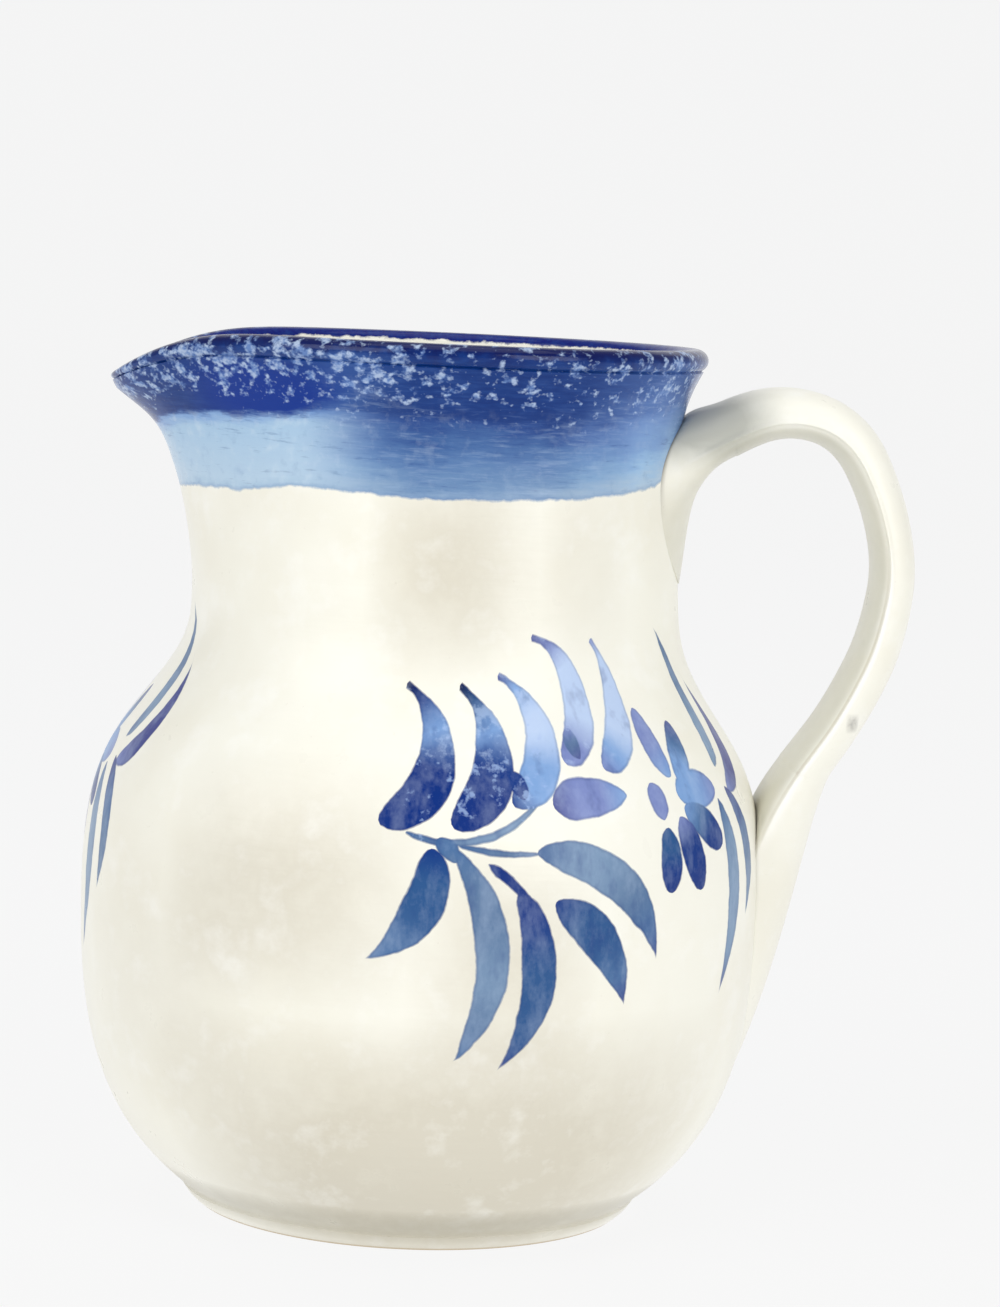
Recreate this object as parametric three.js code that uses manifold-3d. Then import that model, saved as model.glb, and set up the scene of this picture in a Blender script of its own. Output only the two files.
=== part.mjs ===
// A wheel-thrown ceramic pitcher: a round-bellied vessel with a pulled spout, and a strap handle
// that is luted on at the neck and at the belly.
// Millimetres, +Z up. The origin is the centre of the flat foot; the spout points to -X and the
// handle to +X.
import * as THREE from "three";
import { mergeVertices } from "three/addons/utils/BufferGeometryUtils.js";
import { ParametricGeometry } from "three/addons/geometries/ParametricGeometry.js";
import Module from "manifold-3d";

// ---- Driving dimensions ----

// Vessel, from the foot up. Radii are of the outer face.
const height = 200; // foot to rim, away from the spout
const footRadius = 50;
const footBandHeight = 3.5;
const footBandLean = 2.5; // how much wider the band is at its top
const bellyRadius = 78.3;
const bellyHeight = 74;
const neckRadius = 54.6;
const neckHeight = 174;
const rimRadius = 60;
const rimThickness = 5.2; // across the rounded rim
const wall = 4.2;
const floorThickness = 7;

// Spout, pulled out of the round rim
const spoutReach = 15; // beyond the round rim
const spoutDrop = 10.4; // of the lip, below the rest of the rim
const throatLength = 56; // how far below the rim the pull begins
const spoutSpread = THREE.MathUtils.degToRad(29);
const lipSpread = THREE.MathUtils.degToRad(22);

// Handle: a strap, thicker outside its side ridge than inside it
const strapWidth = 28;
const strapThickness = 11.8;
const outerShare = 0.6; // of the thickness, outside the ridge
const rootSpread = 0.16; // how much wider the strap is at its ends
const upperRootDepth = 29; // of the upper root's centre, below the rim
const archDepth = 13.4; // of the top of the strap's centre line, below the rim
const fingerGap = 44.8; // from the neck to the strap's inner face
const lowerRootHeight = 88;

// Luting clay that was worked over the two joints
const upperJoinHeight = 39;
const upperJoinThickness = 9.5;
const upperJoinHalfWidth = 19;
const lowerJoinHeight = 62;
const lowerJoinThickness = 10.4;
const lowerJoinHalfWidth = 18;

const clearance = 0.3; // between pieces that touch

// Fineness
const roundSteps = 60;
const strapSteps = 36;
const strapSides = 16;
const padSteps = 20;
const padSides = 18;

// ---- Vessel profile, as points of (radius, height) ----

const vec2 = (radius, z) => new THREE.Vector2(radius, z);

// The outer face from the foot to the underside of the rounded rim, as three smooth curves.
const shoulderPull = bellyHeight * 0.42;
const rimRound = rimThickness / 2;
const rimFoot = vec2(rimRadius - 0.6, height - rimThickness + 0.4);
const bodyCurve = new THREE.CubicBezierCurve(
  vec2(footRadius + footBandLean, footBandHeight),
  vec2(footRadius + 0.83 * (bellyRadius - footRadius), bellyHeight * 0.27),
  vec2(bellyRadius, bellyHeight - shoulderPull),
  vec2(bellyRadius, bellyHeight),
);
const shoulderCurve = new THREE.CubicBezierCurve(
  vec2(bellyRadius, bellyHeight),
  vec2(bellyRadius, bellyHeight + 0.51 * (neckHeight - bellyHeight)),
  vec2(neckRadius, neckHeight - 0.74 * (neckHeight - bellyHeight)),
  vec2(neckRadius, neckHeight),
);
const flareCurve = new THREE.CubicBezierCurve(
  vec2(neckRadius, neckHeight),
  vec2(neckRadius, neckHeight + 0.33 * (rimFoot.y - neckHeight)),
  vec2(neckRadius + 0.4, neckHeight + 0.62 * (rimFoot.y - neckHeight)),
  rimFoot,
);

// One curve through the outer face, sampled from the foot band up.
function outerFace(stepsBody, stepsShoulder, stepsFlare) {
  return [
    ...bodyCurve.getSpacedPoints(stepsBody),
    ...shoulderCurve.getSpacedPoints(stepsShoulder).slice(1),
    ...flareCurve.getSpacedPoints(stepsFlare).slice(1),
  ];
}

const finePoints = outerFace(60, 60, 30);

// The outer radius at a height, for the pieces that sit on the vessel.
function outerRadiusAt(z) {
  const above = finePoints.findIndex((point) => point.y >= z);
  if (above <= 0) return above === 0 ? finePoints[0].x : rimRadius;
  const low = finePoints[above - 1];
  const high = finePoints[above];
  return THREE.MathUtils.mapLinear(z, low.y, high.y, low.x, high.x);
}

// Moves a run of profile points by a distance along their normals, outwards where it is positive.
function offsetProfile(points, distance) {
  return points.map((point, i) => {
    const before = points[Math.max(i - 1, 0)];
    const after = points[Math.min(i + 1, points.length - 1)];
    const along = after.clone().sub(before).normalize();
    return vec2(point.x + along.y * distance, point.y - along.x * distance);
  });
}

// The whole wall: underside, band, outer face, rounded rim, inner face and floor.
function wallProfile() {
  const outer = outerFace(9, 11, 6);
  const rimCentre = vec2(rimRadius - rimRound, height - rimRound);
  const rim = new THREE.EllipseCurve(
    rimCentre.x, rimCentre.y, rimRound, rimRound, 0, Math.PI,
  ).getPoints(5);
  const inner = offsetProfile(outer, -wall)
    .filter((point) => point.y > 2.6 * floorThickness && point.y < rimCentre.y - rimRound)
    .reverse();
  const lowest = inner[inner.length - 1];
  const floorCurve = new THREE.QuadraticBezierCurve(
    lowest, vec2(lowest.x * 0.86, floorThickness), vec2(lowest.x * 0.5, floorThickness),
  ).getPoints(3).slice(1);
  return [
    vec2(0, 0), vec2(footRadius, 0), ...outer, ...rim, ...inner, ...floorCurve,
    vec2(0, floorThickness),
  ];
}

// ---- Solids ----

const wasm = await Module();
wasm.setup();

// Joins the shared vertices of a geometry and drops faces that have shrunk to nothing.
function closed(geometry) {
  for (const name of ["normal", "uv"]) geometry.deleteAttribute(name);
  const merged = mergeVertices(geometry, 1e-3);
  const index = merged.index.array;
  const kept = [];
  for (let i = 0; i < index.length; i += 3) {
    const [a, b, c] = index.slice(i, i + 3);
    if (a !== b && b !== c && c !== a) kept.push(a, b, c);
  }
  return merged.setIndex(kept);
}

function solidOf(geometry) {
  return new wasm.Manifold(new wasm.Mesh({
    numProp: 3,
    vertProperties: new Float32Array(geometry.attributes.position.array),
    triVerts: new Uint32Array(geometry.index.array),
  }));
}

function geometryOf(solid) {
  const { vertProperties, triVerts } = solid.getMesh();
  return new THREE.BufferGeometry()
    .setAttribute("position", new THREE.BufferAttribute(vertProperties, 3))
    .setIndex(new THREE.BufferAttribute(triVerts, 1));
}

// A solid of revolution about +Z.
function turned(profile) {
  return closed(new THREE.LatheGeometry(profile, roundSteps).rotateX(Math.PI / 2));
}

// Pulls the spout: the wall near -X moves out and, at the lip, down. The pull grows from the
// bottom of the throat to the rim and fades to both sides.
function pullSpout(geometry) {
  const position = geometry.attributes.position;
  for (let i = 0; i < position.count; i++) {
    const x = position.getX(i);
    const y = position.getY(i);
    const z = position.getZ(i);
    const radius = Math.hypot(x, y);
    const rise = THREE.MathUtils.clamp((z - height + throatLength) / throatLength, 0, 1);
    if (rise === 0 || radius < neckRadius / 2) continue;
    const turn = Math.abs(Math.atan2(y, -x));
    const out = spoutReach * Math.min(1, 1.25 * rise ** 1.4) * Math.exp(-((turn / spoutSpread) ** 2));
    const down = spoutDrop * rise ** 3 * Math.exp(-((turn / lipSpread) ** 2));
    const stretch = 1 + out / radius;
    position.setXYZ(i, x * stretch, y * stretch, z - down);
  }
  return geometry;
}

// Everything inside the vessel's outer face, grown by the clearance: what is cut from a piece
// that sits on the vessel.
function vesselSpace() {
  const outer = offsetProfile(finePoints.filter((_, i) => i % 3 === 0), clearance);
  return solidOf(turned([
    vec2(0, outer[0].y), ...outer, vec2(0, outer[outer.length - 1].y),
  ]));
}

// ---- Handle ----

const point3 = (x, z) => new THREE.Vector3(x, 0, z);
const upperRoot = height - upperRootDepth;
const arch = height - archDepth;
const reach = neckRadius + fingerGap + (1 - outerShare) * strapThickness;
const lowerRoot = outerRadiusAt(lowerRootHeight);
const drop = arch - lowerRootHeight;

// The line of the side ridge, from inside the neck wall to inside the belly wall.
const ridgeLine = new THREE.CatmullRomCurve3([
  point3(neckRadius - 2.5 * wall, upperRoot - 7),
  point3(neckRadius, upperRoot + 1),
  point3(neckRadius + 0.23 * (reach - neckRadius), arch - 3.2),
  point3(neckRadius + 0.5 * (reach - neckRadius), arch - 0.6),
  point3(neckRadius + 0.77 * (reach - neckRadius), arch - 5.4),
  point3(reach - 3, arch - 0.2 * drop),
  point3(reach, arch - 0.37 * drop),
  point3(reach - 5, arch - 0.58 * drop),
  point3(lowerRoot + 0.5 * (reach - lowerRoot), arch - 0.76 * drop),
  point3(lowerRoot + 0.12 * (reach - lowerRoot), lowerRootHeight + 8),
  point3(lowerRoot - 2 * wall, lowerRootHeight - 12),
]);

// A closed tube along the ridge line. Its section is two half ellipses that meet at the ridge.
function strap(growth) {
  const across = new THREE.Vector3(0, 1, 0);
  return closed(new ParametricGeometry((u, v, target) => {
    const along = THREE.MathUtils.clamp(v, 0, 1);
    const end = v === 0 || v === 1 ? 0 : 1;
    const angle = 2 * Math.PI * (u % 1);
    const nearEnd = (2 * along - 1) ** 4;
    const width = strapWidth * (1 + rootSpread * nearEnd) + 2 * growth;
    const thickness = strapThickness * (1 + 0.12 * nearEnd) + 2 * growth;
    const share = Math.sin(angle) > 0 ? outerShare : 1 - outerShare;
    const outwards = ridgeLine.getTangentAt(along).cross(across).normalize();
    ridgeLine.getPointAt(along, target)
      .addScaledVector(across, end * (width / 2) * Math.cos(angle))
      .addScaledVector(outwards, end * thickness * share * Math.sin(angle));
  }, strapSides, strapSteps));
}

// ---- Luting clay ----

// A pad that lies on the vessel at +X and tapers to nothing downwards: the clay at one end of the
// handle. It is fullest at a given height and has half ellipses as sections.
function pad({ bottom, top, fullest, thickness, halfWidth, taper }) {
  return closed(new ParametricGeometry((u, v, target) => {
    const z = THREE.MathUtils.lerp(bottom, top, v);
    const end = v === 0 || v === 1 ? 0 : 1;
    const angle = 2 * Math.PI * (u % 1);
    const rise = THREE.MathUtils.clamp((z - bottom) / (fullest - bottom), 0, 1);
    const fall = THREE.MathUtils.clamp((z - fullest) / (top - fullest), 0, 1);
    const deep = end * thickness * rise ** 1.1 * (1 - 0.8 * fall ** 2);
    const spread = taper + (1 - taper) * Math.sin(rise * Math.PI / 2);
    const side = end * halfWidth * spread * (1 - 0.3 * fall ** 2);
    const out = Math.cos(angle) > 0 ? deep : 2 * wall;
    const y = side * Math.sin(angle);
    const seat = Math.sqrt(outerRadiusAt(z) ** 2 - y ** 2);
    target.set(seat + end * out * Math.cos(angle) - (1 - end) * wall, y, z);
  }, padSides, padSteps));
}

const aroundVessel = vesselSpace();
const handleSolid = solidOf(strap(0)).subtract(aroundVessel);
const aroundHandle = solidOf(strap(clearance));

function lutingClay(shape) {
  return solidOf(pad(shape)).subtract(aroundVessel).subtract(aroundHandle);
}

const upperJoin = lutingClay({
  bottom: upperRoot + 13 - upperJoinHeight,
  top: upperRoot + 13,
  fullest: upperRoot + 3,
  thickness: upperJoinThickness,
  halfWidth: upperJoinHalfWidth,
  taper: 0.5,
});
const lowerJoin = lutingClay({
  bottom: lowerRootHeight + 7 - lowerJoinHeight,
  top: lowerRootHeight + 7,
  fullest: lowerRootHeight + 1,
  thickness: lowerJoinThickness,
  halfWidth: lowerJoinHalfWidth,
  taper: 0.45,
});

// ---- Assembly ----

const glazedClay = (color, roughness) =>
  new THREE.MeshStandardMaterial({ color, roughness, metalness: 0 });

function piece(name, geometry, material) {
  const mesh = new THREE.Mesh(geometry, material);
  mesh.name = name;
  return mesh;
}

const pitcher = new THREE.Group();
pitcher.add(
  piece("vessel", pullSpout(turned(wallProfile())), glazedClay(0xf3efe0, 0.2)),
  piece("handle", geometryOf(handleSolid), glazedClay(0xefeada, 0.22)),
  piece("upper_handle_join", geometryOf(upperJoin), glazedClay(0xe9e4d2, 0.25)),
  piece("lower_handle_join", geometryOf(lowerJoin), glazedClay(0xece7d6, 0.25)),
);

export default pitcher;
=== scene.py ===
"""A painted ceramic pitcher: thrown vessel, pulled spout, strap handle and its two luted joins.

Metres, +Z up. The foot's centre is the origin, the spout points to -X and the handle to +X.
"""
import math

import bmesh
import bpy
from mathutils import Matrix, Vector


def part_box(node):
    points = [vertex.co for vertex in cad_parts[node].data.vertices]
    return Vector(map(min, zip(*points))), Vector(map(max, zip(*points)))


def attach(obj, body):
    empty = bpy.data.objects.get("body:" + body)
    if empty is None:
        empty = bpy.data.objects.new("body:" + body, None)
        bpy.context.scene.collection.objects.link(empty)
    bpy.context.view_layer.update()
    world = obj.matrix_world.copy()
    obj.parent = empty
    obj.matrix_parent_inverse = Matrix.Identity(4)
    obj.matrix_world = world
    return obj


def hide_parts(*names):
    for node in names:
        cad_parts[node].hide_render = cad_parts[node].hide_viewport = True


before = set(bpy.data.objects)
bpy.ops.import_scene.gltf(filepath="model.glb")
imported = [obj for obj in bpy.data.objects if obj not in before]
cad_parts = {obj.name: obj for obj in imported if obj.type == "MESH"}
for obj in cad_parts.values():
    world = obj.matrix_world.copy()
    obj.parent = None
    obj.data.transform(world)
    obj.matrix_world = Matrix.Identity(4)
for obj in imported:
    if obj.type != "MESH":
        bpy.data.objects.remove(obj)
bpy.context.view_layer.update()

bl_info = {
    "name": "Painted pitcher",
    "version": (1, 0, 0),
    "blender": (4, 5, 0),
    "location": "3D View > Sidebar > Pitcher",
    "description": "Builds a ceramic pitcher with a strap handle and brushed blue decoration",
    "category": "Object",
}

MM = 0.001
RIM = 200.0  # millimetres up to the rim
THROAT = 56.0  # millimetres below the rim at which the spout begins
LIP_DROP = 10.4  # millimetres that the lip is pulled down
LIP_SPREAD = 22.0  # degrees round the rim that the lip's dip reaches
VESSEL_LOW, VESSEL_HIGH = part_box("vessel")
HANDLE_LOW, HANDLE_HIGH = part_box("handle")


# ---- Settings ----

def length(name, description, default):
    return bpy.props.FloatProperty(
        name=name, description=description, default=default, min=0.0, precision=4,
        subtype="DISTANCE", unit="LENGTH",
    )


def angle(name, description, degrees):
    return bpy.props.FloatProperty(
        name=name, description=description, default=math.radians(degrees), subtype="ANGLE",
    )


def share(name, description, default):
    return bpy.props.FloatProperty(
        name=name, description=description, default=default, min=0.0, max=1.0, subtype="FACTOR",
    )


def linear(code):
    """The linear red, green and blue of a colour written as on a paint chart."""
    parts = [int(code[i:i + 2], 16) / 255 for i in (0, 2, 4)]
    return [p / 12.92 if p <= 0.04045 else ((p + 0.055) / 1.055) ** 2.4 for p in parts]


def colour(name, description, code):
    return bpy.props.FloatVectorProperty(
        name=name, description=description, default=linear(code), size=3, min=0.0, max=1.0,
        subtype="COLOR",
    )


class PitcherVesselSizes(bpy.types.PropertyGroup):
    """Sizes of the thrown vessel, over its outer face."""
    height: length("Height", "From the foot to the rim, away from the spout", VESSEL_HIGH.z)
    foot_radius: length("Foot radius", "Radius of the flat foot", 50.5 * MM)
    foot_band: length("Foot band", "Height of the trimmed band at the foot", 3.5 * MM)
    belly_radius: length("Belly radius", "Widest radius of the vessel", VESSEL_HIGH.y)
    belly_height: length("Belly height", "Height of the widest part", 74 * MM)
    neck_radius: length("Neck radius", "Narrowest radius, below the rim", 54.6 * MM)
    neck_height: length("Neck height", "Height of the narrowest part", 174 * MM)
    rim_radius: length("Rim radius", "Outer radius of the rim, away from the spout", 60 * MM)
    rim_bead: length("Rim bead", "Height of the rounded bead round the rim", 5.2 * MM)
    wall: length("Wall", "Thickness of the wall", 4.2 * MM)
    floor: length("Floor", "Thickness of the floor", 7 * MM)
    spout_reach: length("Spout reach", "How far the spout stands beyond the rim", 14.4 * MM)
    spout_drop: length("Spout drop", "How far the lip is pulled down", LIP_DROP * MM)
    throat: length("Throat", "How far below the rim the spout begins", THROAT * MM)
    spout_spread: angle("Spout spread", "How far the spout reaches round the vessel", 29)
    lip_spread: angle("Lip spread", "How far the lip's dip reaches round the rim", LIP_SPREAD)


class PitcherHandleSizes(bpy.types.PropertyGroup):
    """Sizes of the strap handle and of the clay at its two roots."""
    width: length("Width", "Width of the strap", HANDLE_HIGH.y - HANDLE_LOW.y - 4.4 * MM)
    outer_share: share("Outer share", "Part of the strap's thickness outside its side ridge", 0.66)
    upper_join_width: length("Upper join width", "Width of the clay at the neck", 46 * MM)
    upper_join_top: length("Upper join top", "Height of its upper edge", 184 * MM)
    upper_join_foot: length("Upper join foot", "Height of its lower edge", 146 * MM)
    lower_join_width: length("Lower join width", "Width of the clay at the belly", 37 * MM)
    lower_join_top: length("Lower join top", "Height of its upper edge", 95 * MM)
    lower_join_foot: length("Lower join foot", "Height of its lower edge", 32 * MM)


class PitcherColours(bpy.types.PropertyGroup):
    """Colours of the glaze and of the brushed decoration."""
    glaze: colour("Glaze", "Ivory glaze", "F5F3E7")
    warm: colour("Warm glaze", "Where the glaze lies thin over the clay", "EAE5D3")
    clay: colour("Clay", "Bare clay under the foot", "CDBDA0")
    wash: colour("Wash", "Thin blue wash under the rim", "A9BFDB")
    blue: colour("Blue", "Brushed blue of the rim's band", "234D95")
    cobalt: colour("Cobalt", "Thick cobalt of the rim's band", "052F74")
    rim: colour("Rim", "Near-black cobalt on the rim", "050E4C")
    fleck: colour("Fleck", "Pale flecks on the rim", "C2D5EF")


# ---- Shapes ----

def bezier(points, steps):
    """Points along a cubic or quadratic curve, without its first."""
    made = []
    for i in range(1, steps + 1):
        line = [Vector(p) for p in points]
        while len(line) > 1:
            line = [a.lerp(b, i / steps) for a, b in zip(line, line[1:])]
        made.append(line[0])
    return made


def through(points, steps):
    """Points on a smooth line through all the given ones."""
    points = [Vector(p) for p in points]
    padded = [2 * points[0] - points[1], *points, 2 * points[-1] - points[-2]]
    made = []
    for a, b, c, d in zip(padded, padded[1:], padded[2:], padded[3:]):
        for i in range(steps):
            t = i / steps
            made.append(0.5 * (
                2 * b + (c - a) * t + (2 * a - 5 * b + 4 * c - d) * t ** 2
                + (3 * b - a - 3 * c + d) * t ** 3
            ))
    return [*made, points[-1]]


def outer_face(v):
    """Radius and height of the outer face, from the foot's edge up to the rim's bead."""
    band = Vector((v.foot_radius + 2.4 * MM, v.foot_band))
    start = Vector((v.foot_radius + 2.5 * MM, v.foot_band + 0.9 * MM))
    belly = Vector((v.belly_radius, v.belly_height))
    neck = Vector((v.neck_radius, v.neck_height))
    bead = Vector((v.rim_radius - 0.7 * MM, v.height - v.rim_bead))
    rise = v.neck_height - v.belly_height
    flare = bead.y - v.neck_height
    line = [Vector((v.foot_radius, 0.6 * MM)),
            Vector((v.foot_radius + 1.2 * MM, v.foot_band * 0.5))]
    line += [band, Vector((band.x - 0.2 * MM, v.foot_band + 0.4 * MM)), start]
    line += bezier([start,
                    (v.foot_radius + 0.86 * (v.belly_radius - v.foot_radius),
                     0.27 * v.belly_height),
                    (v.belly_radius, 0.58 * v.belly_height), belly], 36)
    line += bezier([belly, (v.belly_radius, v.belly_height + 0.51 * rise),
                    (v.neck_radius, v.neck_height - 0.74 * rise), neck], 40)
    line += bezier([neck, (v.neck_radius, v.neck_height + 0.33 * flare),
                    (v.neck_radius + 0.4 * MM, v.neck_height + 0.62 * flare), bead], 14)
    return line


def wall_profile(v):
    """The whole wall: under the foot, up the outer face, over the rim, down inside to the floor."""
    outer = outer_face(v)
    half = v.rim_bead / 2
    centre = Vector((v.rim_radius - half, v.height - half))
    bead = [centre + half * Vector((math.cos(a) * 1.12, math.sin(a)))
            for a in (math.radians(10 * i - 60) for i in range(25))]
    inner = []
    for below, point, above in zip(outer, outer[1:], outer[2:]):
        along = (above - below).normalized()
        moved = point + v.wall * Vector((-along.y, along.x))
        if 2.6 * v.floor < moved.y < v.height - v.rim_bead - 0.4 * MM:
            inner.append(moved)
    inner.reverse()
    low = inner[-1]
    floor = bezier([low, (0.86 * low.x, v.floor), (0.5 * low.x, v.floor)], 12)
    under = [Vector((r, 0)) for r in (0, 0.35 * v.foot_radius, 0.7 * v.foot_radius,
                                      v.foot_radius - 0.8 * MM)]
    return [*under, *outer, *bead, *inner, *floor, Vector((0.25 * low.x, v.floor)),
            Vector((0, v.floor))]


class Wall:
    """The vessel's outer face at +X, where the handle's clay lies on it."""

    def __init__(self, v):
        self.line = outer_face(v)

    def radius(self, z):
        for low, high in zip(self.line, self.line[1:]):
            if low.y <= z <= high.y:
                return low.x + (high.x - low.x) * (z - low.y) / max(high.y - low.y, 1e-9)
        return self.line[-1].x

    def point(self, y, z, depth=0.0):
        """The point of the wall at a sideways place and a height, sunk by a depth."""
        radius = self.radius(z)
        x = math.sqrt(radius ** 2 - y ** 2)
        sunk = 1 - depth / radius
        return Vector((x * sunk, y * sunk, z))

    def normal(self, y, z):
        slope = (self.radius(z + MM) - self.radius(z - MM)) / (2 * MM)
        flat = self.point(y, z)
        flat.z = 0
        return (flat.normalized() - Vector((0, 0, slope))).normalized()


# Centre line of the strap in X and Z with its thickness, in millimetres, from neck to belly.
STRAP = [
    (55, 173.4, 13.4), (60, 178.2, 13.4), (65.4, 182, 13.2), (73.8, 185.6, 12.5),
    (81.8, 186.3, 11.8), (89.8, 184.0, 11.3), (96.2, 178.3, 10.9), (101.2, 168.5, 10.4),
    (104.2, 158.6, 10.2), (105.2, 150, 10.3), (104.4, 141.6, 10.6), (102.2, 132.3, 10.9),
    (98.6, 123.6, 11), (93.8, 114.6, 11), (87.8, 105.5, 11.3), (82.0, 96.9, 11.8),
]
STRAP_STEPS = 9  # from one of these points to the next
STRAP_SIDES = 88
UPPER_STEP = 2 * STRAP_STEPS + 3  # where the clay of each join leaves the strap
LOWER_STEP = 14 * STRAP_STEPS - 2
SUNK_STEPS = 5  # how far the strap goes on inside each join
SIDE_RIDGE = 0.45 * MM  # how far the raised line stands out on each side
SKIRT_STEPS = 22  # rings of a join's clay


def section_angle(k):
    """Where one point of a section lies round it: closest together at the two side ridges."""
    even = 2 * math.pi * k / STRAP_SIDES
    return even - 0.36 * math.sin(2 * even)


class Strap:
    """The pulled strap: rings of points round its centre line."""

    def __init__(self, h):
        self.line = [p * MM for p in through(STRAP, STRAP_STEPS)]
        self.width, self.outer_share = h.width, h.outer_share

    def frame(self, i):
        """Place, direction and outward direction at one step of the centre line."""
        before, after = self.line[max(i - 1, 0)], self.line[min(i + 1, len(self.line) - 1)]
        along = Vector((after.x - before.x, 0, after.y - before.y)).normalized()
        outwards = Vector((-along.z, 0, along.x))
        return Vector((self.line[i].x, 0, self.line[i].y)), along, outwards

    def ring(self, i, scale=1.0):
        centre, _, outwards = self.frame(i)
        thickness = self.line[i].z * scale
        ends = (2 * i / (len(self.line) - 1) - 1) ** 4
        width = self.width * (1 + 0.16 * ends) * scale
        shift = self.outer_share - 0.5
        made = []
        for k in range(STRAP_SIDES):
            a = section_angle(k)
            c, s = math.cos(a), math.sin(a)
            part = self.outer_share if s > 0 else 1 - self.outer_share
            # The strap is fuller than an ellipse outside, and slightly hollow along its middle.
            round_off = abs(s) ** (0.88 if s > 0 else 0.94)
            hollow = 0.045 * math.exp(-(c / 0.33) ** 2) if s > 0 else 0.0
            # A fine raised line runs along each side, where the two faces meet.
            ridge = math.copysign(SIDE_RIDGE * scale * math.exp(-(s / 0.07) ** 2), c)
            made.append(centre + Vector((0, c * (width / 2 - SIDE_RIDGE) + ridge, 0))
                        + outwards * (math.copysign(round_off - hollow, s) * part - shift)
                        * thickness)
        return made


def skirt(wall, strap, step, into, top, foot, mid, half_width, reach, land, lift):
    """Rings of the clay at a root: from the strap's surface to the wall, meeting both smoothly.

    reach and land say how far the curve follows the strap and the wall, and lift how steeply it
    leaves the wall, each on the strap's outer face, its sides and its inner face.
    """
    start = strap.ring(step)
    along = strap.frame(step)[1] * into
    outer_down = into > 0
    curves = []
    edge = []
    for k, place in enumerate(start):
        a = section_angle(k)
        c, s = math.cos(a), math.sin(a)
        weights = (max(s, 0) ** 2, c ** 2, max(-s, 0) ** 2)
        follow, rest, steep = (sum(w * n for w, n in zip(weights, numbers))
                               for numbers in (reach, land, lift))
        up = -s if outer_down else s
        z = mid + up * (top - mid if up > 0 else mid - foot)
        y = half_width * c
        end = wall.point(y, z)
        normal = wall.normal(y, z)
        inwards = place - end
        inwards = (inwards - inwards.dot(normal) * normal).normalized()
        leave = inwards * math.cos(steep) + normal * math.sin(steep)
        curves.append((place, place + along * follow, end + leave * rest, end))
        edge.append((y, z))
    rings = [start]
    paths = [bezier(curve, SKIRT_STEPS) for curve in curves]
    rings += [[path[i] for path in paths] for i in range(SKIRT_STEPS)]
    # The last rings close the piece just inside the wall.
    for shrink, depth in ((1.0, 1.3 * MM), (0.7, 1.6 * MM), (0.4, 1.6 * MM), (0.12, 1.6 * MM)):
        rings.append([wall.point(y * shrink, mid + (z - mid) * shrink, depth) for y, z in edge])
    return rings


# ---- Modelling ----

def deselect():
    if bpy.context.object and bpy.context.object.mode == "EDIT":
        bpy.ops.object.mode_set(mode="OBJECT")
    bpy.ops.object.select_all(action="DESELECT")


def turn_profile(name, profile, steps):
    """Draws a profile from one vertex and turns it on the wheel."""
    deselect()
    bpy.ops.mesh.primitive_plane_add(size=MM, location=(0, 0, 0))
    piece = bpy.context.object
    piece.name = piece.data.name = name
    bpy.ops.object.mode_set(mode="EDIT")
    bpy.ops.mesh.select_all(action="SELECT")
    bpy.ops.mesh.merge(type="CENTER")
    for here, there in zip(profile, profile[1:]):
        move = (there.x - here.x, 0, there.y - here.y)
        bpy.ops.mesh.extrude_vertices_move(TRANSFORM_OT_translate={"value": move})
    bpy.ops.mesh.select_all(action="SELECT")
    bpy.ops.mesh.spin(steps=steps, angle=2 * math.pi, center=(0, 0, 0), axis=(0, 0, 1))
    bpy.ops.mesh.select_all(action="SELECT")
    bpy.ops.mesh.remove_doubles(threshold=0.01 * MM)
    bpy.ops.mesh.normals_make_consistent(inside=False)
    bpy.ops.object.mode_set(mode="OBJECT")
    return piece


def loft(name, rings, edge_marks=None):
    """Extrudes a circle from ring to ring, and closes both ends.

    Each point is marked with how far it lies on the inner face and on a side ridge, and with its
    ring's painted crease shade.
    """
    deselect()
    bpy.ops.mesh.primitive_circle_add(vertices=len(rings[0]), radius=MM, fill_type="NOTHING")
    piece = bpy.context.object
    piece.name = piece.data.name = name
    marks = ("inner_face", "luted_edge", "side_ridge")
    for mark in marks:
        piece.data.attributes.new(mark, "FLOAT", "POINT")
    piece.data.attributes.new("side", "INT", "POINT")
    inner, luted, ridge = (piece.data.attributes[mark] for mark in marks)
    side = piece.data.attributes["side"]
    for k in range(len(rings[0])):
        s = math.sin(section_angle(k))
        side.data[k].value = k
        inner.data[k].value = min(max(-s * 2.2 + 0.02, 0), 1)
        luted.data[k].value = 0
        ridge.data[k].value = math.exp(-(s / 0.075) ** 2)
        piece.data.vertices[k].co = rings[0][k]
    bpy.ops.object.mode_set(mode="EDIT")
    bpy.ops.mesh.select_all(action="SELECT")
    bpy.ops.mesh.edge_face_add()
    for i, ring in enumerate(rings[1:], start=1):
        bpy.ops.mesh.extrude_region_move()
        bm = bmesh.from_edit_mesh(piece.data)
        side = bm.verts.layers.int["side"]
        luted = bm.verts.layers.float["luted_edge"]
        for vertex in bm.verts:
            if vertex.select:
                vertex.co = ring[vertex[side]]
                vertex[luted] = edge_marks[i][vertex[side]] if edge_marks else 0
        bmesh.update_edit_mesh(piece.data)
    bpy.ops.mesh.select_all(action="SELECT")
    bpy.ops.mesh.normals_make_consistent(inside=False)
    bpy.ops.object.mode_set(mode="OBJECT")
    piece.data.attributes.remove(piece.data.attributes["side"])
    return piece


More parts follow.
